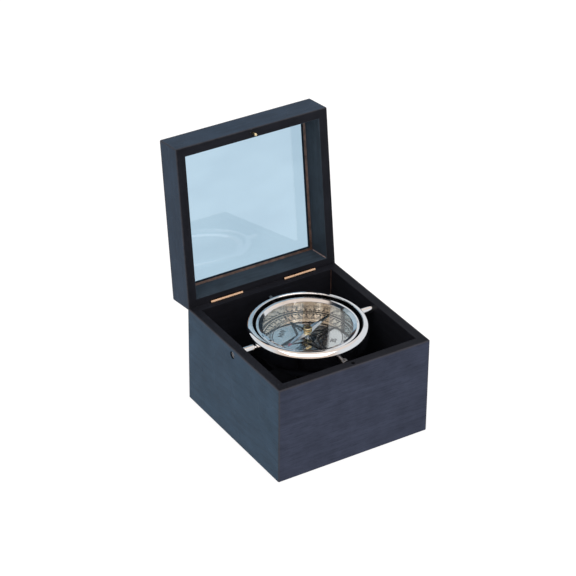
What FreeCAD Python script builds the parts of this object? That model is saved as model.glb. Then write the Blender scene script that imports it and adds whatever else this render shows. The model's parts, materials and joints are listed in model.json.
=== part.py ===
import FreeCAD, Part
import math
import os

# A boxed ship compass.  A square wooden case holds a chromed ring on two side posts; the ring
# holds the compass bowl on two pivot screws, and the needle turns on a point inside the bowl.
# A glazed lid stands open on two brass hinges.
# Millimetres, +Z up, +X to the right, +Y towards the hinges.  The origin is the centre of the
# case's underside, which is the face that the compass stands on.

V = FreeCAD.Vector
ORIGIN = V(0, 0, 0)
RIGHT = V(1, 0, 0)
BACK = V(0, 1, 0)
UP = V(0, 0, 1)
TOLERANCE = 0.001
REACH = 200.0             # longer than anything here: the size of a cutting block

# ---- case -----------------------------------------------------------------------------------
CASE_W = 102.0            # outside width and depth
CASE_H = 62.5
WALL = 6.0
PANEL_T = 4.0             # bottom panel, let in between the walls
CORNER_R = 0.8            # outside vertical corners
RIM_R = 0.5               # outside edges of the rims
INNER_RIM_R = 0.3

# ---- lid ------------------------------------------------------------------------------------
LID_H = 18.8
LID_GAP = 0.2             # between the rims when closed
LID_OPEN_DEG = 97.0
LIP_IN = 1.8              # how far the lip reaches in over the glass
LIP_T = 1.0
LID_GLASS_T = 1.3
LID_GLASS_PLAY = 0.1
BEAD_W = 1.3              # glue bead in the corner, its width across the glass
BEAD_H = 0.6
PIN_R = 0.9               # locating pin in the front rim of the lid
PIN_OUT = 4.0
PIN_IN = 5.0
PIN_HOLE_R = 1.2
PIN_HOLE_DEPTH = 5.0

# ---- hinges ---------------------------------------------------------------------------------
HINGE_X = 25.3            # centre of each hinge from the middle of the case
HINGE_L = 21.7
HINGE_INSET = 1.2         # pin axis, in from the back face
KNUCKLE_R = 1.2
KNUCKLE_GAP = 0.12
NOTCH_R = 1.5
NOTCH_END_GAP = 0.3
LEAF_T = 0.8
LEAF_H = 8.5              # from the pin axis to the leaf's far edge
LEAF_RELIEF = 1.6         # the leaf is cut away this far, where the other leaf's knuckle turns
HINGE_PIN_R = 0.6
HINGE_PIN_PLAY = 0.05
BEVEL_DEG = 49.0          # the back edges of case and lid meet on these bevels when it is open
BEVEL_BACK = 0.05
LEAF_SCREW_X = 6.5
LEAF_SCREW_DROP = 5.2     # from the pin axis
LEAF_SCREW_HEAD_R = 1.3
LEAF_SCREW_HEAD_H = 0.7
LEAF_SCREW_R = 0.6
LEAF_SCREW_L = 4.2
LEAF_SLOT_W = 0.35
LEAF_SLOT_D = 0.3

# ---- gimbal ---------------------------------------------------------------------------------
PIVOT_Z = 58.2            # both gimbal axes cross at this height
RING_OUT_R = 35.8
RING_IN_R = 32.0
RING_H = 10.7
RING_TOP_ABOVE_PIVOT = 5.9
RING_TOP_ROUND = 3.2
RING_LOW_ROUND = 1.2
RING_EDGE_ROUND = 0.4
POST_R = 2.35
POST_END = 36.3           # from the centre to the thick part's end
POST_END_ROUND = 1.1
TRUNNION_R = 1.0          # thin tips of the posts and of the pivot screws
TRUNNION_PLAY = 0.05
POST_TIP = 32.8
TIP_CHAMFER = 0.2
POST_SCREW_R = 1.2
POST_SCREW_CLEAR = 0.1
POST_SCREW_IN = 4.5       # how far the screw goes into the post
POST_SCREW_HEAD_R = 2.2
POST_SCREW_HEAD_H = 1.1
POST_SCREW_RECESS_R = 2.35
POST_SCREW_RECESS = 1.7
POST_SLOT_W = 0.6
POST_SLOT_D = 0.5
PIVOT_THREAD_R = 1.3
PIVOT_THREAD_START = 31.7
PIVOT_HEAD_START = 38.4
PIVOT_HEAD_R = 2.2
PIVOT_HEAD_H = 3.0
PIVOT_HEAD_ROUND = 0.4
PIVOT_TIP = 28.8
PIVOT_SLOT_W = 0.7
PIVOT_SLOT_D = 1.0

# ---- bowl -----------------------------------------------------------------------------------
BOWL_R = 29.8
BOWL_LOW_Z = 37.7
BOWL_LOW_ROUND = 15.0
BOWL_FLOOR_Z = 40.2
CAVITY_R = 26.8
CAVITY_ROUND = 11.5
DIAL_R = 28.0
DIAL_LEDGE_Z = 52.2
DIAL_T = 0.8
SEAL_LEDGE_Z = 59.8
GLASS_SEAT_R = 28.7
SPIGOT_R = 29.3           # the bezel's skirt goes over this
SPIGOT_LOW_Z = 59.4
BOWL_TOP_Z = 61.2
PIVOT_HOLE_END = 28.5
SLEEVE_IN_R = 27.4
SEAL_T = 0.2
BOWL_GLASS_R = 28.6
BEZEL_OUT_R = 30.1
BEZEL_TOP_Z = 62.4
BEZEL_LIP_IN_R = 29.1
BEZEL_GROOVE_IN_R = 28.6
BEZEL_GROOVE_D = 0.4
BEZEL_OPEN_R = 26.5
BEZEL_OPEN_Z = 61.6       # top of the bevel's inner edge
BEZEL_EDGE_ROUND = 0.3

# ---- bowl weight ----------------------------------------------------------------------------
WEIGHT_R = 12.5
WEIGHT_H = 6.0
WEIGHT_ROUND = 1.0
WEIGHT_RECESS_R = 2.9
WEIGHT_RECESS = 2.2
WEIGHT_SCREW_R = 1.4
WEIGHT_HEAD_R = 2.6
WEIGHT_HEAD_H = 1.8
WEIGHT_SCREW_TOP_Z = 40.0
WEIGHT_SLOT_W = 0.7
WEIGHT_SLOT_D = 0.7

# ---- needle ---------------------------------------------------------------------------------
NEEDLE_DEG = 67.0         # clockwise from +Y, seen from above
NEEDLE_TIP = 21.7
NEEDLE_HALF_W = 2.8
NEEDLE_TIP_HALF_W = 0.35
NEEDLE_Z = 57.0
NEEDLE_T = 0.4            # under the cap
NEEDLE_EDGE_T = 0.25
NEEDLE_RIDGE_T = 0.65     # the top rises in shallow facets to this at the middle
CAP_BORE_R = 1.2
CAP_SPIGOT_R = 1.6
CAP_HEAD_R = 2.6
CAP_TOP_Z = 59.7
CAP_ROUND = 0.45
CAP_GROOVE_R = 2.3
CAP_GROOVE_Z = 58.2       # a groove round the head, and its upper edge
CAP_GROOVE_TOP_Z = 58.6
COLLAR_R = 2.3
COLLAR_LOW_Z = 55.5
COLLAR_ROUND = 0.35
JEWEL_LOW_Z = 58.3
JEWEL_TOP_Z = 59.3
JEWEL_RECESS_R = 0.7
JEWEL_RECESS_Z = 59.05
POINT_Z = 58.97
POINT_R = 0.06
POINT_CONE_Z = 57.6
PIVOT_POST_R = 0.55
PIVOT_FLANGE_R = 1.8
PIVOT_FLANGE_H = 0.5
PIVOT_SHANK_R = 0.8
PIVOT_SHANK_L = 1.8

# ---- sizes worked out from the ones above ---------------------------------------------------
HALF = CASE_W / 2
INSIDE = HALF - WALL
LID_Z = CASE_H + LID_GAP
LID_TOP_Z = LID_Z + LID_H
HINGE_Y = HALF - HINGE_INSET
HINGE_Z = CASE_H + LID_GAP / 2
HINGE_POINT = V(0, HINGE_Y, HINGE_Z)
LID_GLASS_Z = LID_TOP_Z - LIP_T - LID_GLASS_T
PIN_Y = WALL / 2 - HALF
TRUNNION_HOLE_R = TRUNNION_R + TRUNNION_PLAY
RING_TOP_Z = PIVOT_Z + RING_TOP_ABOVE_PIVOT
RING_LOW_Z = RING_TOP_Z - RING_H
DIAL_TOP_Z = DIAL_LEDGE_Z + DIAL_T
BOWL_GLASS_Z = SEAL_LEDGE_Z + SEAL_T
WEIGHT_LOW_Z = BOWL_LOW_Z - WEIGHT_H
SIDES = {"front": 0, "right": 90, "back": 180, "left": 270}   # turns about +Z from the front


# ---- shared shapes --------------------------------------------------------------------------
def block(x_low, x_high, y_low, y_high, z_low, z_high):
    return Part.makeBox(x_high - x_low, y_high - y_low, z_high - z_low, V(x_low, y_low, z_low))


def square_block(half, z_low, z_high):
    return block(-half, half, -half, half, z_low, z_high)


def turned(profile):
    """A solid of revolution about Z, from (radius, height) corners."""
    corners = [V(radius, 0, height) for radius, height in profile]
    face = Part.Face(Part.makePolygon(corners + corners[:1]))
    return face.revolve(ORIGIN, UP, 360)


def ring_of(r_in, r_out, z_low, z_high):
    return turned([(r_in, z_low), (r_out, z_low), (r_out, z_high), (r_in, z_high)])


def round_circles(solid, size, circles):
    """Round the circular edges about Z that are named by (radius, height)."""
    picked = []
    for edge in solid.Edges:
        if not isinstance(edge.Curve, Part.Circle):
            continue
        radius, height = edge.Curve.Radius, edge.Curve.Center.z
        if any(math.hypot(radius - r, height - z) < TOLERANCE for r, z in circles):
            picked.append(edge)
    return solid.makeFillet(size, picked)


def round_edges(solid, size, wanted):
    """Round the edges whose bounding boxes pass the test."""
    return solid.makeFillet(size, [edge for edge in solid.Edges if wanted(edge.BoundBox)])


def is_upright(box):
    return box.ZLength > TOLERANCE and max(box.XLength, box.YLength) < TOLERANCE


def is_level_at(height):
    return lambda box: max(abs(box.ZMin - height), abs(box.ZMax - height)) < TOLERANCE


def is_level_inside(height, half):
    level = is_level_at(height)
    return lambda box: level(box) and max(box.XMax, box.YMax) < half + TOLERANCE


def rounded_block(z_low, z_high):
    """The square outer block of the case or the lid, with its outside edges eased."""
    solid = round_edges(square_block(HALF, z_low, z_high), CORNER_R, is_upright)
    solid = round_edges(solid, RIM_R, is_level_at(z_high))
    return round_edges(solid, RIM_R, is_level_at(z_low))


def slotted(screw, centre, axis, width, depth, angle=0.0):
    """Cut a driver slot across a screw head whose top face has this centre and axis."""
    slot = block(-width / 2, width / 2, -REACH / 2, REACH / 2, -depth, depth)
    slot.rotate(ORIGIN, UP, angle)
    slot.Placement = FreeCAD.Placement(centre, FreeCAD.Rotation(UP, axis)).multiply(slot.Placement)
    return screw.cut(slot)


def mitred(frame):
    """Cut a square frame at its corners into front, right, back and left boards."""
    boards = {}
    for side, turn in SIDES.items():
        corners = [V(0, 0, -REACH), V(-REACH, -REACH, -REACH), V(REACH, -REACH, -REACH)]
        wedge = Part.Face(Part.makePolygon(corners + corners[:1])).extrude(V(0, 0, 2 * REACH))
        wedge.rotate(ORIGIN, UP, turn)
        boards[side] = frame.common(wedge)
    return boards


# ---- hinges, built with the lid closed ------------------------------------------------------
def hinge_spans(centre):
    """The three knuckles along a hinge: the case's, the lid's, the case's."""
    third = HINGE_L / 3
    left = centre - HINGE_L / 2
    half_gap = KNUCKLE_GAP / 2
    case_spans = [(left, left + third - half_gap), (left + 2 * third + half_gap, left + HINGE_L)]
    lid_spans = [(left + third + half_gap, left + 2 * third - half_gap)]
    return case_spans, lid_spans


def case_side(shape, is_lid):
    """Shapes are drawn below the hinge axis; the lid's are their mirror above it."""
    return shape.mirror(HINGE_POINT, UP) if is_lid else shape


def hinge_leaf(centre, spans, bore_r, is_lid):
    leaf = block(centre - HINGE_L / 2, centre + HINGE_L / 2, HALF - LEAF_T, HALF,
                 HINGE_Z - LEAF_H, HINGE_Z - LEAF_RELIEF)
    for start, end in spans:
        root = block(start, end, HALF - LEAF_T, HALF, HINGE_Z - LEAF_RELIEF, HINGE_Z)
        knuckle = Part.makeCylinder(KNUCKLE_R, end - start, V(start, HINGE_Y, HINGE_Z), RIGHT)
        leaf = leaf.fuse([root, knuckle])
    bore = Part.makeCylinder(bore_r, REACH, V(-HALF, HINGE_Y, HINGE_Z), RIGHT)
    return case_side(leaf.removeSplitter(), is_lid).cut(bore)


def hinge_pin(centre):
    return Part.makeCylinder(HINGE_PIN_R, HINGE_L, V(centre - HINGE_L / 2, HINGE_Y, HINGE_Z), RIGHT)


def leaf_screw(x, is_lid):
    """A countersunk wood screw through a leaf, its head flush with the back face."""
    z = HINGE_Z - LEAF_SCREW_DROP
    inward = V(0, -1, 0)
    head = Part.makeCone(LEAF_SCREW_HEAD_R, LEAF_SCREW_R, LEAF_SCREW_HEAD_H, V(x, HALF, z), inward)
    shank = Part.makeCylinder(LEAF_SCREW_R, LEAF_SCREW_L, V(x, HALF, z), inward)
    return case_side(head.fuse(shank), is_lid)


def leaf_screws(is_lid):
    return [leaf_screw(side * HINGE_X + offset, is_lid)
            for side in (-1, 1) for offset in (-LEAF_SCREW_X, LEAF_SCREW_X)]


def slotted_leaf_screws(is_lid):
    """The four screws of one side, their slots left at different angles."""
    finished = []
    for number, screw in enumerate(leaf_screws(is_lid)):
        middle = V(screw.BoundBox.Center.x, HALF, screw.BoundBox.Center.z)
        angle = 25.0 + 55.0 * number
        finished.append(slotted(screw, middle, BACK, LEAF_SLOT_W, LEAF_SLOT_D, angle))
    return Part.makeCompound(finished)


def hinge_recess(centre, is_lid):
    """What a hinge needs cut out of the back board: the leaf's mortise and the knuckle's notch."""
    mortise = block(centre - HINGE_L / 2, centre + HINGE_L / 2, HALF - LEAF_T, HALF + WALL,
                    HINGE_Z - LEAF_H, HINGE_Z)
    notch = Part.makeCylinder(NOTCH_R, HINGE_L + 2 * NOTCH_END_GAP,
                              V(centre - HINGE_L / 2 - NOTCH_END_GAP, HINGE_Y, HINGE_Z), RIGHT)
    return case_side(mortise.fuse(notch), is_lid)


def back_bevel(is_lid):
    """The wedge cut from a back edge, so that case and lid meet flat when the lid is open."""
    wedge = block(-HALF, HALF, -WALL * 2, WALL * 2, -BEVEL_BACK, WALL * 2)
    wedge.rotate(ORIGIN, RIGHT, -BEVEL_DEG)
    wedge.translate(HINGE_POINT)
    return case_side(wedge, is_lid)


def fitted_back_board(board, is_lid):
    cutters = [hinge_recess(side * HINGE_X, is_lid) for side in (-1, 1)] + leaf_screws(is_lid)
    return board.cut(back_bevel(is_lid)).cut(cutters)


# ---- case -----------------------------------------------------------------------------------
def post_screw(side):
    """The screw that holds a side post, in from the outer face; side is -1 left or +1 right."""
    inward = V(-side, 0, 0)
    head_x = HALF - POST_SCREW_RECESS + POST_SCREW_HEAD_H
    shank_l = head_x - INSIDE + POST_SCREW_IN
    start = V(side * head_x, 0, PIVOT_Z)
    head = Part.makeCylinder(POST_SCREW_HEAD_R, POST_SCREW_HEAD_H, start, inward)
    shank = Part.makeCylinder(POST_SCREW_R, shank_l, start, inward)
    return slotted(head.fuse(shank), start, V(side, 0, 0), POST_SLOT_W, POST_SLOT_D, 35.0 * side)


def post_screw_hole(side):
    inward = V(-side, 0, 0)
    start = V(side * HALF, 0, PIVOT_Z)
    recess = Part.makeCylinder(POST_SCREW_RECESS_R, POST_SCREW_RECESS, start, inward)
    return recess.fuse(Part.makeCylinder(POST_SCREW_R + POST_SCREW_CLEAR, WALL, start, inward))


def side_post(side):
    inward = V(-side, 0, 0)
    body = Part.makeCylinder(POST_R, INSIDE - POST_END, V(side * INSIDE, 0, PIVOT_Z), inward)
    end_x = side * POST_END
    body = round_edges(body, POST_END_ROUND,
                       lambda box: abs(box.Center.x - end_x) < TOLERANCE and box.XLength < TOLERANCE)
    tip = Part.makeCylinder(TRUNNION_R, POST_END - POST_TIP, V(end_x, 0, PIVOT_Z), inward)
    tip_x = side * POST_TIP
    tip = tip.makeChamfer(TIP_CHAMFER, [edge for edge in tip.Edges
                                        if abs(edge.BoundBox.Center.x - tip_x) < TOLERANCE])
    bore_start = V(side * INSIDE, 0, PIVOT_Z)
    bore = Part.makeCylinder(POST_SCREW_R, POST_SCREW_IN, bore_start, inward)
    return body.fuse(tip).removeSplitter().cut(bore)


def case_nodes():
    frame = rounded_block(0, CASE_H).cut(square_block(INSIDE, -REACH, REACH))
    frame = round_edges(frame, INNER_RIM_R, is_level_inside(CASE_H, INSIDE))
    boards = mitred(frame)
    pin_hole = Part.makeCylinder(PIN_HOLE_R, PIN_HOLE_DEPTH, V(0, PIN_Y, CASE_H - PIN_HOLE_DEPTH), UP)
    return {
        "front_wall": boards["front"].cut(pin_hole),
        "back_wall": fitted_back_board(boards["back"], False),
        "left_wall": boards["left"].cut(back_bevel(False)).cut(post_screw_hole(-1)),
        "right_wall": boards["right"].cut(back_bevel(False)).cut(post_screw_hole(1)),
        "bottom_panel": square_block(INSIDE, 0, PANEL_T),
        "left_post": side_post(-1),
        "right_post": side_post(1),
        "left_post_screw": post_screw(-1),
        "right_post_screw": post_screw(1),
    }


def hinge_nodes():
    """The hinge pieces that stay with the case."""
    nodes = {"hinge_box_screws": slotted_leaf_screws(False)}
    for name, side in (("left", -1), ("right", 1)):
        centre = side * HINGE_X
        case_spans, _ = hinge_spans(centre)
        leaf = hinge_leaf(centre, case_spans, HINGE_PIN_R, False)
        nodes[name + "_hinge_box_leaf"] = leaf.cut(leaf_screws(False))
        nodes[name + "_hinge_pin"] = hinge_pin(centre)
    return nodes


# ---- lid, built closed ----------------------------------------------------------------------
def lid_boards():
    glass_top_z = LID_TOP_Z - LIP_T
    frame = rounded_block(LID_Z, LID_TOP_Z)
    frame = frame.cut(square_block(INSIDE, LID_Z - WALL, glass_top_z))
    frame = frame.cut(square_block(INSIDE - LIP_IN, LID_Z, LID_TOP_Z + WALL))
    frame = round_edges(frame, INNER_RIM_R, is_level_inside(LID_Z, INSIDE))
    frame = round_edges(frame, INNER_RIM_R, is_level_inside(LID_TOP_Z, INSIDE - LIP_IN))
    return mitred(frame)


def glass_bead():
    """Glue in the corner between the glass's inner face and the lid's walls."""
    def square_wire(half, z):
        corners = [V(-half, -half, z), V(half, -half, z), V(half, half, z), V(-half, half, z)]
        return Part.makePolygon(corners + corners[:1])

    glue = square_block(INSIDE, LID_GLASS_Z - BEAD_H, LID_GLASS_Z)
    hollow = Part.makeLoft([square_wire(INSIDE, LID_GLASS_Z - BEAD_H),
                            square_wire(INSIDE - BEAD_W, LID_GLASS_Z)], True)
    return glue.cut(hollow)


def lid_pin():
    pin = Part.makeCylinder(PIN_R, PIN_OUT + PIN_IN, V(0, PIN_Y, LID_Z - PIN_OUT), UP)
    return round_edges(pin, PIN_R * 0.7, is_level_at(LID_Z - PIN_OUT))


def opened(shape):
    """Swing a shape of the closed lid open about the hinge axis."""
    copy = shape.copy()
    copy.rotate(HINGE_POINT, RIGHT, -LID_OPEN_DEG)
    return copy


def lid_nodes():
    boards = lid_boards()
    bevel = back_bevel(True)
    pin = lid_pin()
    closed = {
        "lid_front_rail": boards["front"].cut(pin),
        "lid_back_rail": fitted_back_board(boards["back"], True),
        "lid_left_rail": boards["left"].cut(bevel),
        "lid_right_rail": boards["right"].cut(bevel),
        "lid_glass": square_block(INSIDE - LID_GLASS_PLAY, LID_GLASS_Z, LID_GLASS_Z + LID_GLASS_T),
        "lid_glass_bead": glass_bead(),
        "lid_pin": pin,
        "hinge_lid_screws": slotted_leaf_screws(True),
    }
    for name, side in (("left", -1), ("right", 1)):
        centre = side * HINGE_X
        _, lid_spans = hinge_spans(centre)
        leaf = hinge_leaf(centre, lid_spans, HINGE_PIN_R + HINGE_PIN_PLAY, True)
        closed[name + "_hinge_lid_leaf"] = leaf.cut(leaf_screws(True))
    return {name: opened(shape) for name, shape in closed.items()}


# ---- gimbal ring ----------------------------------------------------------------------------
def gimbal_ring():
    ring = ring_of(RING_IN_R, RING_OUT_R, RING_LOW_Z, RING_TOP_Z)
    ring = round_circles(ring, RING_TOP_ROUND, [(RING_OUT_R, RING_TOP_Z)])
    ring = round_circles(ring, RING_LOW_ROUND, [(RING_OUT_R, RING_LOW_Z)])
    inner_edges = [(RING_IN_R, RING_TOP_Z), (RING_IN_R, RING_LOW_Z)]
    ring = round_circles(ring, RING_EDGE_ROUND, inner_edges)
    side_holes = Part.makeCylinder(TRUNNION_HOLE_R, 2 * HALF, V(-HALF, 0, PIVOT_Z), RIGHT)
    screw_holes = Part.makeCylinder(PIVOT_THREAD_R, 2 * HALF, V(0, -HALF, PIVOT_Z), BACK)
    return ring.cut([side_holes, screw_holes])


def pivot_screw(side):
    """A slotted screw through the ring whose thin tip carries the bowl; side is -1 front, +1 rear."""
    outward = V(0, side, 0)
    head_l = PIVOT_HEAD_H
    head = Part.makeCylinder(PIVOT_HEAD_R, head_l, V(0, side * PIVOT_HEAD_START, PIVOT_Z), outward)
    head = round_edges(head, PIVOT_HEAD_ROUND, lambda box: box.YLength < TOLERANCE)
    thread_l = PIVOT_HEAD_START - PIVOT_THREAD_START
    thread = Part.makeCylinder(PIVOT_THREAD_R, thread_l, V(0, side * PIVOT_THREAD_START, PIVOT_Z),
                               outward)
    tip_l = PIVOT_THREAD_START - PIVOT_TIP
    tip = Part.makeCylinder(TRUNNION_R, tip_l, V(0, side * PIVOT_TIP, PIVOT_Z), outward)
    tip_y = side * PIVOT_TIP
    tip = tip.makeChamfer(TIP_CHAMFER, [edge for edge in tip.Edges
                                        if abs(edge.BoundBox.Center.y - tip_y) < TOLERANCE])
    screw = head.fuse([thread, tip]).removeSplitter()
    head_face = V(0, side * (PIVOT_HEAD_START + PIVOT_HEAD_H), PIVOT_Z)
    return slotted(screw, head_face, outward, PIVOT_SLOT_W, PIVOT_SLOT_D, 30.0 * side)


def ring_nodes():
    return {
        "gimbal_ring": gimbal_ring(),
        "front_pivot_screw": pivot_screw(-1),
        "rear_pivot_screw": pivot_screw(1),
    }


# ---- bowl -----------------------------------------------------------------------------------
def bowl_shell():
    shell = turned([(0, BOWL_LOW_Z), (BOWL_R, BOWL_LOW_Z), (BOWL_R, SPIGOT_LOW_Z),
                    (SPIGOT_R, SPIGOT_LOW_Z), (SPIGOT_R, BOWL_TOP_Z), (0, BOWL_TOP_Z)])
    shell = round_circles(shell, BOWL_LOW_ROUND, [(BOWL_R, BOWL_LOW_Z)])
    cavity = Part.makeCylinder(CAVITY_R, DIAL_LEDGE_Z - BOWL_FLOOR_Z, V(0, 0, BOWL_FLOOR_Z), UP)
    cavity = round_circles(cavity, CAVITY_ROUND, [(CAVITY_R, BOWL_FLOOR_Z)])
    dial_seat = Part.makeCylinder(DIAL_R, SEAL_LEDGE_Z - DIAL_LEDGE_Z, V(0, 0, DIAL_LEDGE_Z), UP)
    glass_seat = Part.makeCylinder(GLASS_SEAT_R, WALL, V(0, 0, SEAL_LEDGE_Z), UP)
    shell = shell.cut([cavity, dial_seat, glass_seat])
    pivot_holes = [Part.makeCylinder(TRUNNION_HOLE_R, WALL, V(0, side * PIVOT_HOLE_END, PIVOT_Z),
                                     V(0, side, 0)) for side in (-1, 1)]
    screw_hole = Part.makeCylinder(WEIGHT_SCREW_R, WALL, V(0, 0, WEIGHT_SCREW_TOP_Z - WALL), UP)
    return shell.cut(pivot_holes + [screw_hole])


def bezel():
    groove_z = BEZEL_TOP_Z - BEZEL_GROOVE_D
    ring = turned([
        (SPIGOT_R, SPIGOT_LOW_Z), (BEZEL_OUT_R, SPIGOT_LOW_Z), (BEZEL_OUT_R, BEZEL_TOP_Z),
        (BEZEL_LIP_IN_R, BEZEL_TOP_Z), (BEZEL_LIP_IN_R, groove_z), (BEZEL_GROOVE_IN_R, groove_z),
        (BEZEL_GROOVE_IN_R, BEZEL_TOP_Z), (BEZEL_OPEN_R, BEZEL_OPEN_Z),
        (BEZEL_OPEN_R, BOWL_TOP_Z), (SPIGOT_R, BOWL_TOP_Z)])
    return round_circles(ring, BEZEL_EDGE_ROUND, [(BEZEL_OUT_R, BEZEL_TOP_Z)])


def bowl_weight():
    weight = ring_of(WEIGHT_SCREW_R, WEIGHT_R, WEIGHT_LOW_Z, BOWL_LOW_Z)
    weight = round_circles(weight, WEIGHT_ROUND, [(WEIGHT_R, WEIGHT_LOW_Z)])
    return weight.cut(Part.makeCylinder(WEIGHT_RECESS_R, WEIGHT_RECESS, V(0, 0, WEIGHT_LOW_Z), UP))


def weight_screw():
    head_top_z = WEIGHT_LOW_Z + WEIGHT_RECESS
    head_z = head_top_z - WEIGHT_HEAD_H
    head = Part.makeCylinder(WEIGHT_HEAD_R, WEIGHT_HEAD_H, V(0, 0, head_z), UP)
    shank = Part.makeCylinder(WEIGHT_SCREW_R, WEIGHT_SCREW_TOP_Z - head_z, V(0, 0, head_z), UP)
    return slotted(head.fuse(shank), V(0, 0, head_z), -UP, WEIGHT_SLOT_W, WEIGHT_SLOT_D, 20.0)


def pivot_post():
    flange_z = DIAL_TOP_Z + PIVOT_FLANGE_H
    return turned([
        (0, DIAL_TOP_Z - PIVOT_SHANK_L), (PIVOT_SHANK_R, DIAL_TOP_Z - PIVOT_SHANK_L),
        (PIVOT_SHANK_R, DIAL_TOP_Z), (PIVOT_FLANGE_R, DIAL_TOP_Z), (PIVOT_FLANGE_R, flange_z),
        (PIVOT_POST_R, flange_z), (PIVOT_POST_R, POINT_CONE_Z), (POINT_R, POINT_Z), (0, POINT_Z)])


def bowl_nodes():
    return {
        "bowl_shell": bowl_shell(),
        "bezel": bezel(),
        "glass_seal": ring_of(SLEEVE_IN_R, BOWL_GLASS_R, SEAL_LEDGE_Z, BOWL_GLASS_Z),
        "bowl_glass": Part.makeCylinder(BOWL_GLASS_R, BOWL_TOP_Z - BOWL_GLASS_Z,
                                        V(0, 0, BOWL_GLASS_Z), UP),
        "sleeve": ring_of(SLEEVE_IN_R, DIAL_R, DIAL_TOP_Z, SEAL_LEDGE_Z),
        "dial_plate": ring_of(PIVOT_SHANK_R, DIAL_R, DIAL_LEDGE_Z, DIAL_TOP_Z),
        "pivot_post": pivot_post(),
        "bowl_weight": bowl_weight(),
        "weight_screw": weight_screw(),
    }


# ---- needle ---------------------------------------------------------------------------------
def needle():
    """A blunt-ended lozenge, flat below, with shallow facets that rise to the middle."""
    outline = [(NEEDLE_TIP_HALF_W, NEEDLE_TIP), (NEEDLE_HALF_W, 0), (NEEDLE_TIP_HALF_W, -NEEDLE_TIP),
               (-NEEDLE_TIP_HALF_W, -NEEDLE_TIP), (-NEEDLE_HALF_W, 0), (-NEEDLE_TIP_HALF_W, NEEDLE_TIP)]
    low = [V(x, y, NEEDLE_Z) for x, y in outline]
    edge = [V(x, y, NEEDLE_Z + NEEDLE_EDGE_T) for x, y in outline]
    peak = V(0, 0, NEEDLE_Z + NEEDLE_RIDGE_T)
    loops = [low]
    for number, corner in enumerate(edge):
        before = number - 1
        loops.append([low[before], low[number], corner, edge[before]])
        loops.append([edge[before], corner, peak])
    faces = [Part.Face(Part.makePolygon(loop + loop[:1])) for loop in loops]
    blade = Part.makeSolid(Part.makeShell(faces))
    cap_hole = Part.makeCylinder(CAP_SPIGOT_R, NEEDLE_T, V(0, 0, NEEDLE_Z), UP)
    cap_seat = Part.makeCylinder(CAP_HEAD_R, NEEDLE_T, V(0, 0, NEEDLE_Z + NEEDLE_T), UP)
    blade = blade.cut([cap_hole, cap_seat])
    blade.rotate(ORIGIN, UP, -NEEDLE_DEG)
    return blade


def needle_cap():
    head_z = NEEDLE_Z + NEEDLE_T
    cap = turned([(CAP_BORE_R, COLLAR_LOW_Z), (CAP_SPIGOT_R, COLLAR_LOW_Z), (CAP_SPIGOT_R, head_z),
                  (CAP_HEAD_R, head_z), (CAP_HEAD_R, CAP_GROOVE_Z), (CAP_GROOVE_R, CAP_GROOVE_Z),
                  (CAP_GROOVE_R, CAP_GROOVE_TOP_Z), (CAP_HEAD_R, CAP_GROOVE_TOP_Z),
                  (CAP_HEAD_R, CAP_TOP_Z), (CAP_BORE_R, CAP_TOP_Z)])
    return round_circles(cap, CAP_ROUND, [(CAP_HEAD_R, CAP_TOP_Z)])


def needle_collar():
    collar = ring_of(CAP_SPIGOT_R, COLLAR_R, COLLAR_LOW_Z, NEEDLE_Z)
    return round_circles(collar, COLLAR_ROUND, [(COLLAR_R, COLLAR_LOW_Z)])


def cap_jewel():
    return turned([(JEWEL_RECESS_R, JEWEL_LOW_Z), (CAP_BORE_R, JEWEL_LOW_Z),
                   (CAP_BORE_R, JEWEL_TOP_Z), (0, JEWEL_TOP_Z), (0, JEWEL_RECESS_Z)])


def needle_nodes():
    return {
        "needle": needle(),
        "needle_cap": needle_cap(),
        "needle_collar": needle_collar(),
        "cap_jewel": cap_jewel(),
    }


os.makedirs("parts", exist_ok=True)
for make_nodes in (case_nodes, hinge_nodes, lid_nodes, ring_nodes, bowl_nodes, needle_nodes):
    for node_name, node_shape in make_nodes().items():
        node_shape.exportStep("parts/" + node_name + ".step")
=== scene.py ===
import json
import math

import bmesh
import bpy
from mathutils import Matrix, Vector
from mathutils.geometry import intersect_line_line


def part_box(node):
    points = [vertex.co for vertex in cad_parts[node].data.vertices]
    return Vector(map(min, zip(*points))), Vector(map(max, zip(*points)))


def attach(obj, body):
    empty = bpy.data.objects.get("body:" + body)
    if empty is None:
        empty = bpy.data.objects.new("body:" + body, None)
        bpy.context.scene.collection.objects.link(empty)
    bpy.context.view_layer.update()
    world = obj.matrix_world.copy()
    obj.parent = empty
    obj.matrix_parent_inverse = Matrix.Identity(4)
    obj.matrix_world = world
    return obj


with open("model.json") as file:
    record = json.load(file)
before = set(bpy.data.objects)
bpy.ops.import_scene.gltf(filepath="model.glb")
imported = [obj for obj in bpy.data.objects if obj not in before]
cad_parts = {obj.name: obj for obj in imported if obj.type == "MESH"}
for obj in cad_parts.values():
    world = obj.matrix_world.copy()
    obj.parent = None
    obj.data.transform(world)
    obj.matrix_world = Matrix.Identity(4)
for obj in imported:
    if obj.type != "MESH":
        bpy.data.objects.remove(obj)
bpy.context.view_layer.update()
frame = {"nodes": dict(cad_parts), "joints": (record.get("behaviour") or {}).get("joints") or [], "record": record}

# A boxed ship compass: a black-stained case with a glazed lid, and a chromed compass in gimbals.
# Metres, +Z up, +X to the right, +Y towards the hinges.  The CAD parts keep their shapes and
# get their materials here; the dial's marks, the needle's red end and two glue lines are added.

MM = 0.001

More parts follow.
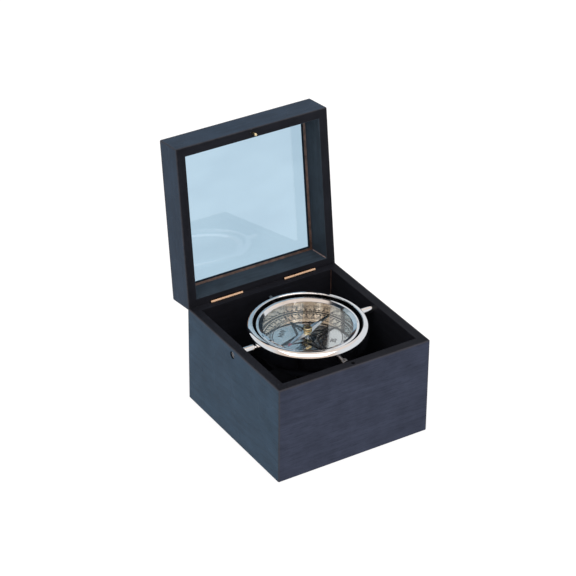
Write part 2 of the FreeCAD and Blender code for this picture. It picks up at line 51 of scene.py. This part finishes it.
# ---- places read from the frame -------------------------------------------------------------
JOINTS = {joint["name"]: joint for joint in frame["joints"]}
HINGE = Vector(JOINTS["lid_hinge"]["pos_m"])
LID_OPEN = math.radians(-JOINTS["lid_hinge"]["range_deg"][0])
CASE_LOW, CASE_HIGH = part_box("front_wall")
CASE_HALF = -CASE_LOW.y
CASE_H = CASE_HIGH.z
WALL = CASE_HIGH.y - CASE_LOW.y
INNER_HALF = CASE_HALF - WALL
LID_LOW, LID_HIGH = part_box("lid_left_rail")
LEANING = 2 * CASE_HALF * abs(math.cos(LID_OPEN))     # how far the open lid leans back
LID_H = (LID_HIGH.y - LID_LOW.y - LEANING) / math.sin(LID_OPEN)
DIAL_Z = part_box("dial_plate")[1].z
NEEDLE_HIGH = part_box("needle")[1]
NEEDLE_DEG = math.degrees(math.atan2(NEEDLE_HIGH.x, NEEDLE_HIGH.y))


# ---- node trees -----------------------------------------------------------------------------
class Tree:
    """A material's node tree with one Principled shader, and short calls for the usual nodes."""

    def __init__(self, name):
        self.material = bpy.data.materials.new(name)
        self.material.use_nodes = True
        self.tree = self.material.node_tree
        self.tree.nodes.clear()
        self.shader = self.node("ShaderNodeBsdfPrincipled")
        self.output = self.node("ShaderNodeOutputMaterial", {"Surface": self.shader.outputs[0]})

    def node(self, kind, inputs=None, **settings):
        made = self.tree.nodes.new(kind)
        for key, value in settings.items():
            setattr(made, key, value)
        for key, value in (inputs or {}).items():
            self.put(made.inputs[key], value)
        return made

    def put(self, socket, value):
        if isinstance(value, bpy.types.NodeSocket):
            self.tree.links.new(value, socket)
        else:
            socket.default_value = value

    def surface(self, **inputs):
        """Set or link the Principled shader's inputs, named with underscores for spaces."""
        for key, value in inputs.items():
            self.put(self.shader.inputs[key.replace("_", " ")], value)

    def math(self, operation, a, b=0.0):
        return self.node("ShaderNodeMath", {0: a, 1: b}, operation=operation).outputs[0]

    def place(self):
        """The point's place in the frame at rest, in metres."""
        return self.node("ShaderNodeTexCoord").outputs["Object"]

    def split(self, vector):
        return self.node("ShaderNodeSeparateXYZ", {0: vector}).outputs

    def join(self, x, y, z):
        return self.node("ShaderNodeCombineXYZ", {0: x, 1: y, 2: z}).outputs[0]

    def scaled(self, vector, scale):
        return self.node("ShaderNodeMapping", {"Vector": vector, "Scale": scale}).outputs[0]

    def noise(self, vector, scale, detail, roughness):
        inputs = {"Vector": vector, "Scale": scale, "Detail": detail, "Roughness": roughness}
        return self.node("ShaderNodeTexNoise", inputs).outputs["Fac"]

    def ramp(self, value, stops):
        """A colour ramp through (position, grey or colour) stops."""
        made = self.node("ShaderNodeValToRGB", {"Fac": value})
        elements = made.color_ramp.elements
        while len(elements) < len(stops):
            elements.new(1.0)
        for element, (position, colour) in zip(elements, stops):
            element.position = position
            element.color = rgba(colour)
        return made.outputs["Color"]

    def step(self, value, low, high, to_low=0.0, to_high=1.0):
        """A smooth step of the value from to_low at low to to_high at high."""
        inputs = {"Value": value, "From Min": low, "From Max": high, "To Min": to_low, "To Max": to_high}
        made = self.node("ShaderNodeMapRange", inputs, interpolation_type="SMOOTHSTEP")
        return made.outputs["Result"]

    def mix(self, share, a, b):
        made = self.node("ShaderNodeMix", data_type="RGBA")
        self.put(made.inputs["Factor"], share)
        self.put(made.inputs[6], rgba(a))
        self.put(made.inputs[7], rgba(b))
        return made.outputs[2]

    def times(self, a, b, share):
        """One colour multiplied by another, as far as the share says."""
        made = self.node("ShaderNodeMix", {6: a, 7: b}, data_type="RGBA", blend_type="MULTIPLY")
        made.inputs["Factor"].default_value = share
        return made.outputs[2]

    def bump(self, height, distance, strength, below=None):
        inputs = {"Height": height, "Distance": distance, "Strength": strength}
        if below is not None:
            inputs["Normal"] = below
        return self.node("ShaderNodeBump", inputs).outputs[0]


def rgba(colour):
    """A grey number or an RGB triple as RGBA; sockets pass through."""
    if isinstance(colour, bpy.types.NodeSocket):
        return colour
    if isinstance(colour, (int, float)):
        return (colour, colour, colour, 1.0)
    return (*colour, 1.0)


# ---- materials ------------------------------------------------------------------------------
GRAIN_SCALES = {"X": (0.06, 1.0, 1.0), "Y": (1.0, 0.06, 1.0)}
# Painted reflection: the outside and lid-inside colours are the black stained wood lightened by a painted bluish
# sky sheen, bluer on the left and right boards than on the front and back; the rim colour is the plain wood.
OUTSIDE_STAIN_AND_SHEEN = {"X": (0.044, 0.053, 0.085), "Y": (0.031, 0.060, 0.098)}
LID_OUTSIDE_STAIN_AND_SHEEN = (0.024, 0.042, 0.071)
LID_INSIDE_STAIN_AND_SHEEN = (0.040, 0.056, 0.075)
WOOD_RIM = (0.014, 0.015, 0.020)
WOOD_WORN = (0.060, 0.058, 0.064)
PORES_SCALE, STREAKS_SCALE = 2600.0, 420.0


def closed_place(tree, is_lid):
    """The place in the frame; for the lid, where the point would be with the lid closed."""
    place = tree.place()
    if not is_lid:
        return place
    turn = {"Vector": place, "Center": HINGE, "Axis": (1.0, 0.0, 0.0), "Angle": LID_OPEN}
    return tree.node("ShaderNodeVectorRotate", turn, rotation_type="AXIS_ANGLE").outputs[0]


def edge_wear(tree, place, is_lid):
    """Near 1 along the outside edges of the case or the lid, broken up by noise."""
    x, y, z = tree.split(place)
    beyond_x = tree.math("SUBTRACT", tree.math("ABSOLUTE", x), CASE_HALF)
    beyond_y = tree.math("SUBTRACT", tree.math("ABSOLUTE", y), CASE_HALF)
    beyond_z = tree.math("SUBTRACT", z, CASE_H)
    if is_lid:
        middle = CASE_H + LID_H / 2
        beyond_z = tree.math("SUBTRACT", tree.math("ABSOLUTE", tree.math("SUBTRACT", z, middle)),
                             LID_H / 2)
    pairs = [tree.math("ADD", beyond_x, beyond_y), tree.math("ADD", beyond_x, beyond_z),
             tree.math("ADD", beyond_y, beyond_z)]
    nearest = tree.math("MAXIMUM", tree.math("MAXIMUM", pairs[0], pairs[1]), pairs[2])
    ragged = tree.math("MULTIPLY", tree.noise(place, 420.0, 4.0, 0.65), 1.1 * MM)
    return tree.step(tree.math("ADD", nearest, ragged), -0.55 * MM, 0.1 * MM)


def stained_wood(name, grain, is_lid=False):
    """Close-grained wood, stained black under a thin varnish, with rubbed edges; the outer faces, and the lid's
    inner faces, also carry a painted bluish sky sheen.
    """
    tree = Tree(name)
    place = closed_place(tree, is_lid)
    along = tree.scaled(place, GRAIN_SCALES[grain])
    fine = tree.noise(along, PORES_SCALE, 5.0, 0.65)
    broad = tree.noise(along, STREAKS_SCALE, 3.0, 0.5)
    cloud = tree.noise(place, 26.0, 2.0, 0.5)
    x, y, _ = tree.split(place)
    out = tree.math("MAXIMUM", tree.math("ABSOLUTE", x), tree.math("ABSOLUTE", y))
    outside = tree.step(out, CASE_HALF - 0.5 * MM, CASE_HALF - 0.1 * MM)
    # The outer faces, and the lid's inner faces, get the painted bluish sheen; rims and the case's inside keep the
    # plain dark wood.
    if is_lid:
        inside = tree.math("SUBTRACT", 1.0, tree.step(out, INNER_HALF + 0.1 * MM, INNER_HALF + 0.5 * MM))
        stain_and_sheen = tree.mix(inside, tree.mix(outside, WOOD_RIM, LID_OUTSIDE_STAIN_AND_SHEEN), LID_INSIDE_STAIN_AND_SHEEN)
    else:
        stain_and_sheen = tree.mix(outside, WOOD_RIM, OUTSIDE_STAIN_AND_SHEEN[grain])
    streaks = tree.ramp(broad, [(0.3, 0.62), (0.7, 1.25)])
    pores = tree.ramp(fine, [(0.33, 0.45), (0.5, 1.0)])
    blotches = tree.ramp(tree.noise(place, 75.0, 4.0, 0.6), [(0.32, 0.68), (0.68, 1.22)])
    shade = tree.times(tree.times(stain_and_sheen, blotches, 0.45), streaks, 0.3)
    pored = tree.times(shade, pores, 0.5)
    worn = tree.math("MULTIPLY", edge_wear(tree, place, is_lid), 0.55)
    colour = tree.mix(worn, pored, WOOD_WORN)
    gloss = tree.math("ADD", tree.step(cloud, 0.3, 0.7, 0.24, 0.36),
                      tree.math("MULTIPLY", tree.math("SUBTRACT", 1.0, outside), 0.14))
    grain_bump = tree.bump(fine, 0.03 * MM, 0.5)
    # The bluish specular tint paints the same sky blue into the varnish's reflections.
    tree.surface(Base_Color=colour, Roughness=gloss, Normal=tree.bump(cloud, 0.25 * MM, 0.4, grain_bump),
                 IOR=1.1, Specular_Tint=(0.6, 0.8, 1.0, 1.0))
    return tree.material


def turned_marks(tree, place, scale):
    """Fine rings left by the lathe: noise that depends only on the distance from the axis."""
    x, y, z = tree.split(place)
    radius = tree.node("ShaderNodeVectorMath", {0: tree.join(x, y, 0.0)}, operation="LENGTH")
    return tree.noise(tree.join(radius.outputs["Value"], z, 0.0), scale, 2.0, 0.7)


LATHE_MARKS = 0.004 * MM


def polished_metal(name, colour, tarnish, roughness):
    """Metal with lathe marks, light smears and a little tarnish; roughness is (least, most)."""
    tree = Tree(name)
    place = tree.place()
    rings = turned_marks(tree, place, 5200.0)
    smears = tree.noise(tree.scaled(place, (1.0, 1.0, 2.5)), 95.0, 4.0, 0.6)
    specks = tree.noise(place, 1500.0, 2.0, 0.5)
    aged = tree.math("MULTIPLY", tree.step(smears, 0.52, 0.75), 0.55)
    tree.surface(
        Base_Color=tree.mix(aged, colour, tarnish),
        Metallic=1.0,
        Roughness=tree.math("ADD", tree.step(smears, 0.35, 0.75, roughness[0], roughness[1]),
                            tree.math("MULTIPLY", specks, 0.02)),
        Normal=tree.bump(rings, LATHE_MARKS, 0.5),
    )
    return tree.material


DARK_TIP_FROM = (13.2 * MM, 14.2 * MM)   # where the darker tip starts and is full, along the needle


def needle_blade(name, colour, smeared, dark_tip_colour):
    """Bright steel with marks across the blade, darker near the tip."""
    tree = Tree(name)
    place = tree.place()
    heading = math.radians(NEEDLE_DEG)
    along = tree.node("ShaderNodeVectorMath", {0: place, 1: (math.sin(heading), math.cos(heading), 0.0)},
                      operation="DOT_PRODUCT").outputs["Value"]
    smears = tree.noise(place, 240.0, 4.0, 0.6)
    marks = tree.noise(tree.join(along, 0.0, 0.0), 4200.0, 2.0, 0.6)
    bright = tree.mix(tree.step(smears, 0.45, 0.75), colour, smeared)
    ragged = tree.math("ADD", along, tree.math("MULTIPLY", smears, 1.2 * MM))
    tip = tree.step(ragged, DARK_TIP_FROM[0], DARK_TIP_FROM[1])
    tree.surface(
        Base_Color=tree.mix(tip, bright, dark_tip_colour),
        Metallic=1.0,
        Roughness=tree.step(smears, 0.3, 0.75, 0.06, 0.16),
        Normal=tree.bump(marks, 0.003 * MM, 0.5),
    )
    return tree.material


def shadow_clear(tree, tint):
    """Let lamps through the glass, tinted, so that what is behind it is lit."""
    path = tree.node("ShaderNodeLightPath")
    clear = tree.node("ShaderNodeBsdfTransparent", {"Color": rgba(tint)})
    shown = tree.node("ShaderNodeMixShader", {0: path.outputs["Is Shadow Ray"],
                                              1: tree.shader.outputs[0], 2: clear.outputs[0]})
    tree.tree.links.new(shown.outputs[0], tree.output.inputs["Surface"])


def sheet_glass(name, tint, shade_cloud_tint, shade_cloud_scale):
    """Clear glass with faint wiping marks and a slanted cloud of slightly deeper tint, which is painted shade."""
    tree = Tree(name)
    place = tree.place()
    slanted = tree.node("ShaderNodeMapping", {"Vector": place, "Rotation": (0.0, 0.7, 0.0),
                                              "Scale": (1.0, 0.4, 2.2)}).outputs[0]
    cloud = tree.noise(slanted, shade_cloud_scale, 2.0, 0.5)
    wipe = tree.noise(tree.scaled(slanted, (1.0, 1.0, 6.0)), 60.0, 4.0, 0.6)
    tree.surface(
        # Painted shade: the slanted cloud deepens the glass's colour.
        Base_Color=tree.mix(tree.step(cloud, 0.38, 0.68), tint, shade_cloud_tint),
        Roughness=tree.step(wipe, 0.5, 0.8, 0.0, 0.035),
        Transmission_Weight=1.0,
        IOR=1.5,
    )
    shadow_clear(tree, tint)
    return tree.material


def silvered_dial(name):
    """Mirror-polished silvering with faint radial wiping and small spots."""
    tree = Tree(name)
    place = tree.place()
    x, y, _ = tree.split(place)
    angle = tree.math("ARCTAN2", y, x)
    wiping = tree.noise(tree.join(angle, 0.0, 0.0), 22.0, 4.0, 0.7)
    spots = tree.noise(place, 900.0, 2.0, 0.5)
    cloud = tree.noise(place, 70.0, 3.0, 0.5)
    tree.surface(
        Base_Color=tree.mix(tree.step(cloud, 0.4, 0.75), (0.80, 0.81, 0.80), (0.64, 0.65, 0.64)),
        Metallic=1.0,
        Roughness=tree.math("ADD", tree.step(spots, 0.4, 0.8, 0.05, 0.12),
                            tree.step(wiping, 0.4, 0.7, 0.0, 0.03)),
        Normal=tree.bump(wiping, 0.01 * MM, 0.2),
    )
    return tree.material


def drawn_sleeve(name):
    """Champagne metal with the upright lines that drawing leaves."""
    tree = Tree(name)
    place = tree.place()
    x, y, z = tree.split(place)
    angle = tree.math("ARCTAN2", y, x)
    lines = tree.noise(tree.join(angle, tree.math("MULTIPLY", z, 2.5), 0.0), 45.0, 5.0, 0.75)
    tint = tree.ramp(lines, [(0.35, (0.62, 0.54, 0.44)), (0.62, (0.93, 0.85, 0.73))])
    tree.surface(
        Base_Color=tint,
        Metallic=1.0,
        Roughness=tree.step(lines, 0.3, 0.7, 0.10, 0.20),
        Normal=tree.bump(lines, 0.02 * MM, 0.3),
    )
    return tree.material


def coated(name, colour, other, scale, roughness, texture):
    """Paint, enamel, rubber, glue or stone: mottled colour over a fine surface texture."""
    tree = Tree(name)
    place = tree.place()
    mottle = tree.noise(place, scale, 4.0, 0.6)
    fine = tree.noise(place, scale * 6.0, 3.0, 0.6)
    tree.surface(
        Base_Color=tree.mix(tree.step(mottle, 0.3, 0.7), colour, other),
        Roughness=tree.step(fine, 0.3, 0.7, roughness[0], roughness[1]),
        Normal=tree.bump(fine, texture * MM, 0.5),
    )
    return tree.material


WOODS = {(grain, is_lid): stained_wood("wood_" + grain + ("_lid" if is_lid else "_case"), grain, is_lid)
         for grain in GRAIN_SCALES for is_lid in (False, True)}
CHROME = polished_metal("chrome", (0.86, 0.86, 0.87), (0.70, 0.68, 0.66), (0.035, 0.09))
BRASS = polished_metal("brass", (0.80, 0.66, 0.40), (0.48, 0.36, 0.18), (0.14, 0.30))
HINGE_BRASS = polished_metal("hinge_brass", (0.80, 0.52, 0.34), (0.40, 0.22, 0.12), (0.16, 0.34))
# A much darker copy of the polished metal, used for the pivot and post screws.
DARKER_SCREW_METAL = polished_metal("darker_screw_metal", (0.16, 0.16, 0.17), (0.08, 0.075, 0.07), (0.10, 0.28))
STEEL = needle_blade("needle_steel", (0.66, 0.72, 0.78), (0.50, 0.55, 0.60), (0.085, 0.11, 0.12))
# Painted reflection: the lid glass's blue tint stands in for the blue surroundings seen in the glass.
LID_GLASS = sheet_glass("lid_glass", (0.44, 0.61, 0.73), (0.405, 0.565, 0.685), 16.0)
BOWL_GLASS = sheet_glass("bowl_glass", (0.97, 0.98, 0.98), (0.94, 0.96, 0.97), 30.0)
DIAL = silvered_dial("dial_silver")
SLEEVE = drawn_sleeve("sleeve_metal")
ENAMEL = coated("dial_enamel", (0.004, 0.005, 0.007), (0.014, 0.013, 0.013), 700.0, (0.5, 0.65), 0.003)
RED = coated("red_paint", (0.24, 0.06, 0.10), (0.17, 0.045, 0.075), 900.0, (0.35, 0.5), 0.004)
RUBBER = coated("seal_rubber", (0.012, 0.012, 0.012), (0.024, 0.023, 0.022), 600.0, (0.6, 0.8), 0.01)
GLUE = coated("glue", (0.040, 0.022, 0.018), (0.12, 0.068, 0.054), 260.0, (0.22, 0.45), 0.12)
OLD_GLUE = coated("old_glue", (0.13, 0.09, 0.085), (0.24, 0.17, 0.16), 420.0, (0.3, 0.5), 0.06)
JEWEL = coated("jewel", (0.006, 0.005, 0.005), (0.014, 0.009, 0.008), 1200.0, (0.3, 0.4), 0.001)

NODE_MATERIALS = {
    "black_wood": None,
    "chrome": CHROME,
    "brass": BRASS,
    "lid_glass": LID_GLASS,
    "bowl_glass": BOWL_GLASS,
    "glue": GLUE,
    "seal_rubber": RUBBER,
    "sleeve_metal": SLEEVE,
    "dial_silver": DIAL,
    "needle_steel": STEEL,
    "jewel": JEWEL,
}


def wood_for(node):
    """The wood whose grain runs along the board."""
    across = "left" in node or "right" in node
    return WOODS["Y" if across else "X", node.startswith("lid")]


def dress(node, material):
    mesh = frame["nodes"][node].data
    mesh.materials.clear()
    mesh.materials.append(material)


for part in frame["record"]["subparts"]:
    chosen = NODE_MATERIALS[part["material_slot"]] or wood_for(part["node"])
    if "hinge" in part["node"]:
        chosen = HINGE_BRASS
    # The pivot and post screws get the much darker copy of the polished metal.
    elif "pivot_screw" in part["node"] or "post_screw" in part["node"]:
        chosen = DARKER_SCREW_METAL
    dress(part["node"], chosen)


# ---- added pieces ---------------------------------------------------------------------------
def add_piece(name, mesh, body, material):
    piece = bpy.data.objects.new(name, mesh)
    bpy.context.scene.collection.objects.link(piece)
    mesh.materials.clear()
    mesh.materials.append(material)
    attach(piece, body)
    return piece


MARK_T = 0.03 * MM            # how far an enamelled mark stands above the dial
MARK_HIGH = DIAL_Z + MARK_T
DEGREES = 360
CIRCLE_PIECES = 120


def prisms(name, outlines, low, high):
    """An upright prism on each closed outline of (x, y) points in mm, between two heights."""
    made = bmesh.new()
    for outline in outlines:
        foot = [made.verts.new((x * MM, y * MM, low)) for x, y in outline]
        top = [made.verts.new((x * MM, y * MM, high)) for x, y in outline]
        made.faces.new(foot)
        made.faces.new(top)
        for n in range(len(outline)):
            made.faces.new((foot[n - 1], foot[n], top[n], top[n - 1]))
    bmesh.ops.recalc_face_normals(made, faces=made.faces)
    return finished(name, made)


def finished(name, made):
    """The mesh from a bmesh that is no longer needed."""
    mesh = bpy.data.meshes.new(name)
    made.to_mesh(mesh)
    made.free()
    return mesh


def polar(radius, degrees):
    """A point on the dial, degrees clockwise from north."""
    angle = math.radians(degrees)
    return Vector((radius * math.sin(angle), radius * math.cos(angle)))


def strip(start, end, width):
    """A straight line of the given width as a rectangle."""
    side = (end - start).normalized().orthogonal() * (width / 2)
    return [start + side, end + side, end - side, start - side]


def circle_pieces(radius, width):
    """A thin circle as short mitred pieces."""
    low, high = radius - width / 2, radius + width / 2
    turn = DEGREES / CIRCLE_PIECES
    return [[polar(low, turn * n), polar(high, turn * n), polar(high, turn * (n + 1)),
             polar(low, turn * (n + 1))] for n in range(CIRCLE_PIECES)]


RING_LINES = [(27.0, 0.7), (25.6, 0.6), (20.4, 0.5)]   # radius and width, mm
TICK_IN, TICK_OUT = 23.2, 25.6
TICK_LINE, BOLD_TICK_LINE = 0.85, 1.1
NUMBER_R = 21.8
NUMBER_SIZE = 2.35
CARDINAL_SCALE = 1.35
LETTER_BOLD = 0.028
POINT_LETTER_R = 15.2
POINT_LETTER_SIZE = 4.4
STAR_TIP = 20.0
STAR_NOTCH = 4.8              # each way from the centre, on the diagonals
NOTCH_R = STAR_NOTCH * math.sqrt(2)
STAR_LINE = 1.6
RIDGE_LINE = 0.8
RIDGE_STOP = 1.0              # how far the ridge line stops short of the centre and the tip
HATCH_GAP = 1.4
HATCH_LINE = 0.95


def tick_marks():
    """Lines every five degrees, longer at the tens and heavier at the thirties."""
    ticks = []
    for degrees in range(0, DEGREES, 5):
        length = 0.5 if degrees % 10 else 1.0
        width = TICK_LINE if degrees % 30 else BOLD_TICK_LINE
        inner = TICK_OUT - (TICK_OUT - TICK_IN) * length
        ticks.append(strip(polar(inner, degrees), polar(TICK_OUT, degrees), width))
    return ticks


def star_corners():
    """The four-pointed star's outline, clockwise from north."""
    return [polar(STAR_TIP if n % 2 == 0 else NOTCH_R, 45.0 * n) for n in range(8)]


def inset(corners, width):
    """The same outline moved in by a width on every side."""
    moved = []
    count = len(corners)
    for n in range(count):
        before, here, after = corners[n - 1], corners[n], corners[(n + 1) % count]
        lines = []
        for start, end in ((before, here), (here, after)):
            along = (end - start).normalized()
            inward = Vector((along.y, -along.x)) * width
            lines += [(start + inward).to_3d(), (end + inward).to_3d()]
        moved.append(intersect_line_line(*lines)[0].to_2d())
    return moved


def star_outline():
    outer = star_corners()
    inner = inset(outer, STAR_LINE)
    count = len(outer)
    return [[outer[n], outer[(n + 1) % count], inner[(n + 1) % count], inner[n]] for n in range(count)]


def star_shading():
    """A ridge line down each ray, and cross hatching on its clockwise half."""
    marks = []
    for heading in range(0, DEGREES, 90):
        tip, notch = polar(STAR_TIP, heading), polar(NOTCH_R, heading + 45.0)
        foot = polar(STAR_NOTCH, heading)
        marks.append(strip(polar(RIDGE_STOP, heading), polar(STAR_TIP - RIDGE_STOP, heading), RIDGE_LINE))
        steps = int((STAR_TIP - STAR_NOTCH) / HATCH_GAP)
        for n in range(1, steps):
            share = n / steps
            marks.append(strip(foot.lerp(tip, share), notch.lerp(tip, share), HATCH_LINE))
    return marks


def letter_mesh(text, size, radius, degrees):
    """Small dial lettering, its top towards the rim."""
    curve = bpy.data.curves.new("letter", "FONT")
    curve.body = text
    curve.size = size * MM
    curve.align_x = "CENTER"
    curve.align_y = "CENTER"
    curve.offset = LETTER_BOLD * size * MM
    curve.extrude = MARK_T / 2
    curve.resolution_u = 3
    holder = bpy.data.objects.new("letter", curve)
    bpy.context.scene.collection.objects.link(holder)
    bpy.context.view_layer.update()
    mesh = bpy.data.meshes.new_from_object(holder.evaluated_get(bpy.context.evaluated_depsgraph_get()))
    bpy.data.objects.remove(holder)
    spot = polar(radius, degrees) * MM
    turn = Matrix.Rotation(-math.radians(degrees), 4, "Z")
    mesh.transform(Matrix.Translation((spot.x, spot.y, DIAL_Z + MARK_T / 2)) @ turn)
    return mesh


def lettering(name, labels):
    """One mesh from many (text, size, radius, degrees) labels."""
    made = bmesh.new()
    for label in labels:
        made.from_mesh(letter_mesh(*label))
    bmesh.ops.remove_doubles(made, verts=made.verts, dist=0.0005 * MM)
    return finished(name, made)


def ring_labels():
    """Degree numbers every ten degrees, with the four cardinal letters in their places."""
    cardinals = {0: "N", 90: "E", 180: "S", 270: "W"}
    labels = []
    for degrees in range(0, DEGREES, 10):
        scale = CARDINAL_SCALE if degrees in cardinals else 1.0
        labels.append((cardinals.get(degrees, str(degrees)), NUMBER_SIZE * scale, NUMBER_R, degrees))
    return labels


def point_labels():
    names = ("NE", "SE", "SW", "NW")
    return [(name, POINT_LETTER_SIZE, POINT_LETTER_R, 45 + 90 * n) for n, name in enumerate(names)]


def add_dial_marks():
    circles = [piece for radius, width in RING_LINES for piece in circle_pieces(radius, width)]
    meshes = {
        "dial_circles": prisms("dial_circles", circles, DIAL_Z, MARK_HIGH),
        "dial_ticks": prisms("dial_ticks", tick_marks(), DIAL_Z, MARK_HIGH),
        "dial_star": prisms("dial_star", star_outline(), DIAL_Z, MARK_HIGH),
        "dial_star_shading": prisms("dial_star_shading", star_shading(), DIAL_Z, MARK_HIGH),
        "dial_numbers": lettering("dial_numbers", ring_labels()),
        "dial_letters": lettering("dial_letters", point_labels()),
    }
    for name, mesh in meshes.items():
        add_piece(name, mesh, "bowl", ENAMEL)


RED_BAND = (17.0 * MM, 19.6 * MM)   # distances from the needle's centre, along its tail
PAINT_T = 0.02 * MM


def add_needle_mark():
    """A coat of red paint round one end of the needle: that stretch of the blade, grown a little."""
    tail = Vector((-math.sin(math.radians(NEEDLE_DEG)), -math.cos(math.radians(NEEDLE_DEG)), 0.0))
    made = bmesh.new()
    made.from_mesh(frame["nodes"]["needle"].data)
    bmesh.ops.remove_doubles(made, verts=made.verts, dist=0.001 * MM)
    for distance, facing in ((RED_BAND[0], -1.0), (RED_BAND[1], 1.0)):
        everything = made.verts[:] + made.edges[:] + made.faces[:]
        cut = bmesh.ops.bisect_plane(made, geom=everything, plane_co=tail * distance,
                                     plane_no=tail * facing, clear_outer=True)
        rim = [item for item in cut["geom_cut"] if isinstance(item, bmesh.types.BMEdge)]
        bmesh.ops.contextual_create(made, geom=rim)
    made.normal_update()
    for vertex in made.verts:
        vertex.co += vertex.normal * PAINT_T
    add_piece("needle_red_mark", finished("needle_red_mark", made), "compass_needle", RED)


LID_GLUE_W = 0.5              # width of a glue line on each of the two boards it joins, mm
CASE_GLUE_W = 0.25
GLUE_STOP = 0.6 * MM          # how far a glue line stops short of the rim
LID_GLASS_DEPTH = 3.4 * MM    # from the lid's top to just under the glass and its bead


def glue_line(name, low, high, width, turn, body, material):
    """Glue squeezed out of the right back corner joint, between two heights."""
    corner = INNER_HALF / MM
    section = [(corner, corner), (corner - width, corner), (corner, corner - width)]
    mesh = prisms(name, [section], low, high)
    mesh.transform(turn)
    add_piece(name, mesh, body, material)


def add_glue_lines():
    opened = Matrix.Translation(HINGE) @ Matrix.Rotation(-LID_OPEN, 4, "X") @ Matrix.Translation(-HINGE)
    glue_line("lid_corner_glue", CASE_H + GLUE_STOP, CASE_H + LID_H - LID_GLASS_DEPTH, LID_GLUE_W,
              opened, "lid", OLD_GLUE)
    glue_line("case_corner_glue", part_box("bottom_panel")[1].z, CASE_H - GLUE_STOP, CASE_GLUE_W,
              Matrix.Identity(4), "case", GLUE)


add_dial_marks()
add_needle_mark()
add_glue_lines()


# ---- floor, light and camera ----------------------------------------------------------------
FLOOR_HALF = 4.0


def add_floor():
    made = bmesh.new()
    bmesh.ops.create_grid(made, x_segments=1, y_segments=1, size=FLOOR_HALF)
    floor = bpy.data.objects.new("floor", finished("floor", made))
    bpy.context.scene.collection.objects.link(floor)
    tree = Tree("floor")
    speckle = tree.noise(tree.place(), 900.0, 2.0, 0.5)
    tree.surface(Base_Color=tree.mix(speckle, (0.24, 0.24, 0.25), (0.28, 0.28, 0.29)), Roughness=0.9,
                 Emission_Color=(1.0, 1.0, 1.0, 1.0), Emission_Strength=0.82)
    floor.data.materials.append(tree.material)


def add_softbox(name, place, target, size, watts, colour):
    light = bpy.data.lights.new(name, "AREA")
    light.shape = "RECTANGLE"
    light.size, light.size_y = size
    light.energy = watts
    light.color = colour
    holder = bpy.data.objects.new(name, light)
    bpy.context.scene.collection.objects.link(holder)
    holder.location = place
    holder.rotation_euler = (Vector(target) - Vector(place)).to_track_quat("-Z", "Y").to_euler()


def add_world(sky, cards):
    """An even sky and the cards in it, each (colour, direction, cosines where it starts and is full)."""
    world = bpy.data.worlds.new("studio")
    bpy.context.scene.world = world
    world.use_nodes = True
    nodes, links = world.node_tree.nodes, world.node_tree.links
    direction = nodes.new("ShaderNodeTexCoord").outputs["Generated"]
    below = None
    for colour, towards, reach in cards:
        facing = nodes.new("ShaderNodeVectorMath")
        facing.operation = "DOT_PRODUCT"
        facing.inputs[1].default_value = Vector(towards).normalized()
        share = nodes.new("ShaderNodeMapRange")
        share.interpolation_type = "SMOOTHSTEP"
        share.inputs["From Min"].default_value, share.inputs["From Max"].default_value = reach
        tint = nodes.new("ShaderNodeMix")
        tint.data_type = "RGBA"
        tint.inputs[6].default_value = rgba(sky)
        tint.inputs[7].default_value = rgba(colour)
        links.new(direction, facing.inputs[0])
        links.new(facing.outputs["Value"], share.inputs["Value"])
        links.new(share.outputs["Result"], tint.inputs["Factor"])
        if below is not None:
            links.new(below, tint.inputs[6])
        below = tint.outputs[2]
    links.new(below, nodes["Background"].inputs["Color"])


CAMERA_AZIMUTH = math.radians(-32.09)
CAMERA_ELEVATION = math.radians(31.58)
CAMERA_ROLL = math.radians(0.505)
CAMERA_DISTANCE = 1.48
CAMERA_AIM = Vector((0.0138, 0.04395, 0.05956))
CAMERA_LENS = 155.27


def add_camera():
    data = bpy.data.cameras.new("camera")
    data.lens = CAMERA_LENS
    data.sensor_width = 36.0
    data.clip_start, data.clip_end = 0.01, 20.0
    camera = bpy.data.objects.new("camera", data)
    bpy.context.scene.collection.objects.link(camera)
    level = math.cos(CAMERA_ELEVATION)
    back = Vector((math.sin(CAMERA_AZIMUTH) * level, -math.cos(CAMERA_AZIMUTH) * level,
                   math.sin(CAMERA_ELEVATION)))
    camera.location = CAMERA_AIM + back * CAMERA_DISTANCE
    turned = (-back).to_track_quat("-Z", "Y").to_matrix() @ Matrix.Rotation(CAMERA_ROLL, 3, "Z")
    camera.rotation_euler = turned.to_euler()
    bpy.context.scene.camera = camera


add_floor()
add_world((0.76, 0.79, 0.82), [
    ((0.74, 0.60, 0.50), (-0.50, -0.72, 0.48), (0.45, 0.80)),
    ((0.84, 0.73, 0.65), (0.05, 0.28, 0.95), (0.70, 0.90)),
])
add_softbox("overhead", (-0.30, -0.50, 1.25), (0.0, 0.0, 0.05), (1.6, 1.4), 10.0, (0.97, 0.98, 1.0))
add_camera()
bpy.context.scene.view_settings.view_transform = "Standard"
